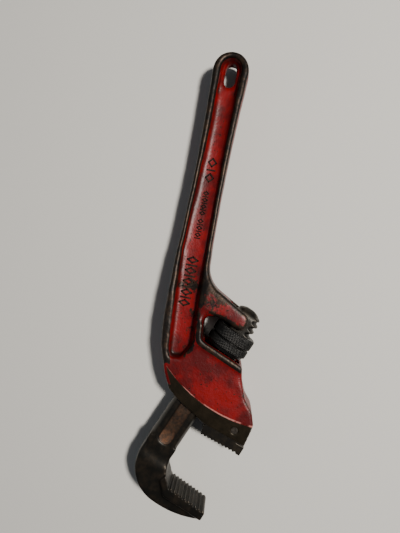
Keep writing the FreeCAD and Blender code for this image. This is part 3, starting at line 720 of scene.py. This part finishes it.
# %% Soften the hook and mark its rust
dome = 1 - ramp(along, CLEAR_OF_NUT - 1.5, CLEAR_OF_NUT)
threads = 1 - ramp(along, 60, 62)
teeth = ramp(along, 104, 107) * (1 - ramp(along, 116.5, 118)) * ramp(across, 14, 17)
bend = ramp(along, 95, 100) * (1 - ramp(along, 111, 118)) * (1 - ramp(across, 8, 14)) * (1 - teeth)
panel_length = ramp(along, 45, 47) * (1 - ramp(along, 92, 94))
panel_face = (1 - ramp(np.abs(up), 6.9, 7.5)) * ramp(np.abs(up), 5.5, 6.2) * (np.abs(across) < 5.6)

soften(hook.data, 14, 1 - 0.82 * np.maximum(threads * (1 - dome), teeth))
soften(hook.data, 110, bend)
roughen(hook.data, 7, 0.10, seed=2)
measure_use(hook.data, 7, 0.30)
save_measure(hook.data, "rust", panel_length * panel_face * (0.35 + 0.65 * ramp(along, 78, 90)))
finish_piece(hook, "hook_jaw", "hook", forged)

# %% [markdown]
# ## The nut
# The nut's rims are knurled: two sets of slanting cuts leave small diamonds that a thumb can turn.
# On a real nut a wheel presses them in. Here each point of the rim moves in by the depth that the
# two sets of cuts have at its angle and at its place along the shank, so the knurl is in the mesh
# and shows in the outline. The number of cuts round the nut is whole, so the pattern closes.

# %% The nut and its knurl
NUT_VOXEL = 0.26
NUT_RADIUS = (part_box("adjusting_nut")[1][2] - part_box("adjusting_nut")[0][2]) / 2 / MM
KNURL_DEPTH = 0.5
KNURL_PITCH = 1.6
KNURL_STEEP = 1.6
KNURL_ROWS = round(2 * math.pi * NUT_RADIUS / KNURL_PITCH)


def ridge(phase):
    """1 on the middle line between two cuts and 0 in a cut."""
    return 1 - np.abs(2 * (phase % 1.0) - 1)


nut = remeshed_copy("adjusting_nut", "knurled_nut", NUT_VOXEL)
soften(nut.data, 3)
points = points_of(nut.data)
along, across, up = jaw_coords(points)
radius = np.hypot(across, up)
turn = np.arctan2(up, across) * KNURL_ROWS / (2 * math.pi)
diamond = np.minimum(ridge(turn + along / KNURL_PITCH), ridge(turn - along / KNURL_PITCH))
on_rim = ramp(radius, NUT_RADIUS - 0.9, NUT_RADIUS - 0.5)
outward = (np.outer(across, np.array(MOUTH_AXIS)) + np.outer(up, (0, 0, 1.0))) / radius[:, None]
cut = KNURL_DEPTH * (1 - np.minimum(1.0, KNURL_STEEP * diamond)) * on_rim
move_points(nut.data, points - outward * (cut * MM)[:, None])
measure_use(nut.data, 6, 0.22)
print("knurl:", KNURL_ROWS, "cuts each way round a radius of", round(NUT_RADIUS, 1), "mm")
finish_piece(nut, "adjusting_nut", "nut", knurled)

# %% [markdown]
# ## The heel jaw
# The heel jaw is a hardened block, and its teeth are the crispest edges on the tool. So it gets small
# faces and only a few rounds of smoothing, with less of it past the head's end, where the teeth are.

# %% The heel jaw
HEEL_VOXEL = 0.28

heel = remeshed_copy("heel_jaw", "heel_forging", HEEL_VOXEL)
along, across, up = jaw_coords(points_of(heel.data))
soften(heel.data, 5, 1 - 0.6 * ramp(along, 60.5, 61.5))
measure_use(heel.data, 6, 0.20)
finish_piece(heel, "heel_jaw", "handle", hardened)

# %% [markdown]
# ## Raised marks on the web
# The handle's web has raised marks, cast with it. They are plain diamonds and bars here, with soft
# tops that use has rubbed dark. Every mark is made of straight bars, and a bar is a cube with its
# upper edges bevelled, set into the web so that its foot doesn't show. A measure on the mesh gives
# the marks the same paint as the casting, and marks them nearly bare.

# %% Raised marks
# Heights in mm above the middle of the handle's thickness.
MARK_FOOT = 3.55
MARK_TOP = 4.35
MARK_EDGE = 0.28
MARK_BARE = 0.75
# First and last place along the handle from the nut, height of a mark, number of marks, bar width.
MARK_GROUPS = [
    (-53.0, -20.4, 7.6, 9, 1.25),
    (-103.6, -88.6, 3.6, 7, 0.8),
    (-82.6, -69.6, 3.6, 6, 0.8),
    (-126.8, -115.4, 5.8, 3, 1.15),
]


def mark_bar(shape, start, end, width):
    """Add a bar between two places, in mm from the nut in X and from the handle's line in Y."""
    start, end = Vector(start), Vector(end)
    run = end - start
    middle = Vector((*(start + end) / 2, (MARK_FOOT + MARK_TOP) / 2))
    centre = Vector((NUT_CENTRE.x, HANDLE_LINE_Y, NUT_CENTRE.z)) + middle * MM
    size = Vector((run.length + width, width, MARK_TOP - MARK_FOOT)) * MM
    turn = Matrix.Rotation(math.atan2(run.y, run.x), 4, "Z")
    place = Matrix.Translation(centre) @ turn @ Matrix.Diagonal((*size, 1.0))
    corners = bmesh.ops.create_cube(shape, size=1.0, matrix=place)["verts"]
    upper = [corner for corner in corners if corner.co.z > centre.z]
    edges = [edge for edge in shape.edges if edge.verts[0] in upper and edge.verts[1] in upper]
    bmesh.ops.bevel(
        shape, geom=edges, offset=MARK_EDGE * MM, segments=1, profile=0.5, affect="EDGES", material=-1
    )


def mark_group(shape, first, last, tall, count, width):
    """Diamonds and upright bars by turns, along the handle from first to last."""
    pitch = (last - first) / (count - 1)
    for i in range(count):
        x = first + i * pitch
        if i % 2:
            mark_bar(shape, (x, -tall / 2), (x, tall / 2), width)
            continue
        reach = 0.52 * pitch
        corners = [(x - reach, 0.0), (x, -tall / 2), (x + reach, 0.0), (x, tall / 2)]
        for start, end in zip(corners, corners[1:] + corners[:1]):
            mark_bar(shape, start, end, width)


marks_shape = bmesh.new()
for group in MARK_GROUPS:
    mark_group(marks_shape, *group)
bmesh.ops.recalc_face_normals(marks_shape, faces=marks_shape.faces)
bmesh.ops.subdivide_edges(marks_shape, edges=marks_shape.edges, cuts=2, use_grid_fill=True)
marks_mesh = bpy.data.meshes.new("raised_marks")
marks_shape.to_mesh(marks_mesh)
marks_shape.free()
marks = bpy.data.objects.new("raised_marks", marks_mesh)
bpy.context.scene.collection.objects.link(marks)
save_measure(marks_mesh, "bare", np.full(len(marks_mesh.vertices), MARK_BARE))
save_measure(marks_mesh, "painted", np.ones(len(marks_mesh.vertices)))
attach(marks, "handle")
give_finish(marks, paint)
print("raised marks:", len(marks_mesh.polygons), "faces")
